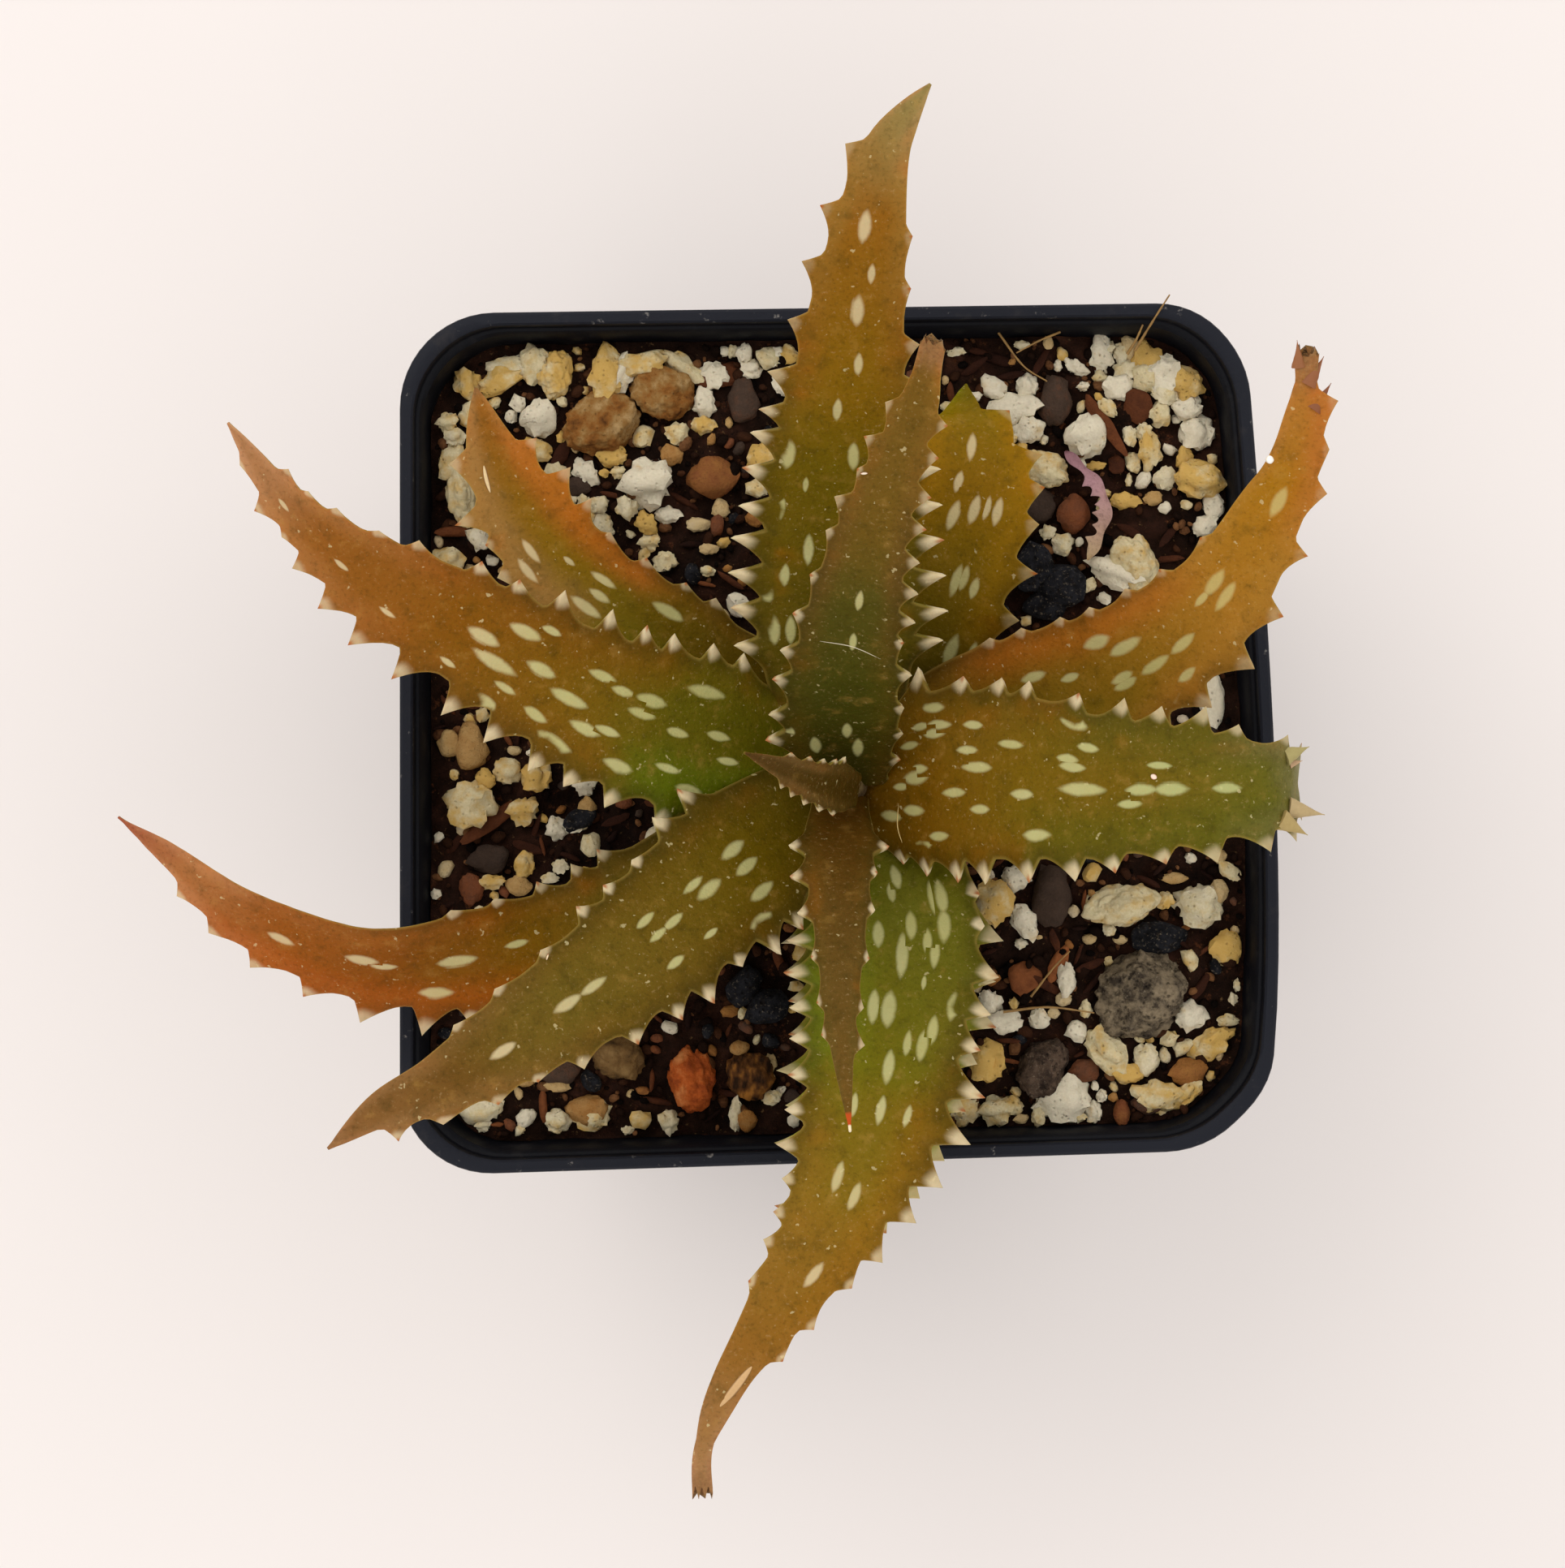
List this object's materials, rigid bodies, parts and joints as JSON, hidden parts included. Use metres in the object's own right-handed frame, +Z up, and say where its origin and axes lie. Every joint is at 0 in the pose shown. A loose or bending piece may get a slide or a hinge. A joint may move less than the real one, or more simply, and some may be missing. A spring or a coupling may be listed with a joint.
{
  "type": "potted aloe hybrid",
  "caption": "Rosette of toothed, pale-flecked aloe leaves, green to rust brown, in a square black plastic nursery pot with gritty soil.",
  "frame": {"origin": "centre of the pot's base, on the surface it stands on", "axes": "+Z up along the pot, +Y towards the tall leaf at the top of the plan, +X towards the broad leaf at the right"},
  "size_m": [0.0858, 0.0974, 0.0972],
  "materials": {
    "pot_plastic": "satin",
    "soil_mix": "matte",
    "stem_bark": "matte",
    "pumice": "matte",
    "grit": "matte",
    "lava": "matte",
    "red_stone": "matte",
    "brown_stone": "matte",
    "perlite": "matte",
    "dried_leaf": "matte",
    "blade_new": "satin",
    "blade_young_bottom": "satin",
    "blade_young_top": "satin",
    "blade_right": "satin",
    "blade_lower_left": "satin",
    "blade_left": "satin",
    "blade_top": "satin",
    "blade_bottom": "satin",
    "blade_upper_right": "satin",
    "blade_upper_left": "satin",
    "blade_far_left": "satin",
    "blade_behind": "satin",
    "blade_under_bottom": "satin"
  },
  "bodies": {
    "root": {"pot": "pot_plastic", "soil": "soil_mix", "stem": "stem_bark", "pumice_left": "pumice", "pumice_middle": "pumice", "grit_lens": "grit", "lava_grey": "lava", "lava_brown": "lava", "stone_red": "red_stone", "stone_brown": "brown_stone", "stone_striped": "brown_stone", "perlite_kidney": "perlite", "perlite_oval": "perlite", "perlite_corner": "perlite", "perlite_left": "perlite", "leaf_new": "blade_new", "leaf_young_bottom": "blade_young_bottom", "leaf_young_top": "blade_young_top", "leaf_right": "blade_right", "leaf_lower_left": "blade_lower_left", "leaf_left": "blade_left", "leaf_top": "blade_top", "leaf_bottom": "blade_bottom", "leaf_upper_right": "blade_upper_right", "leaf_upper_left": "blade_upper_left", "leaf_far_left": "blade_far_left", "leaf_behind": "blade_behind", "leaf_under_bottom": "blade_under_bottom", "dried_leaf_scrap": "dried_leaf"}
  },
  "joints": []
}
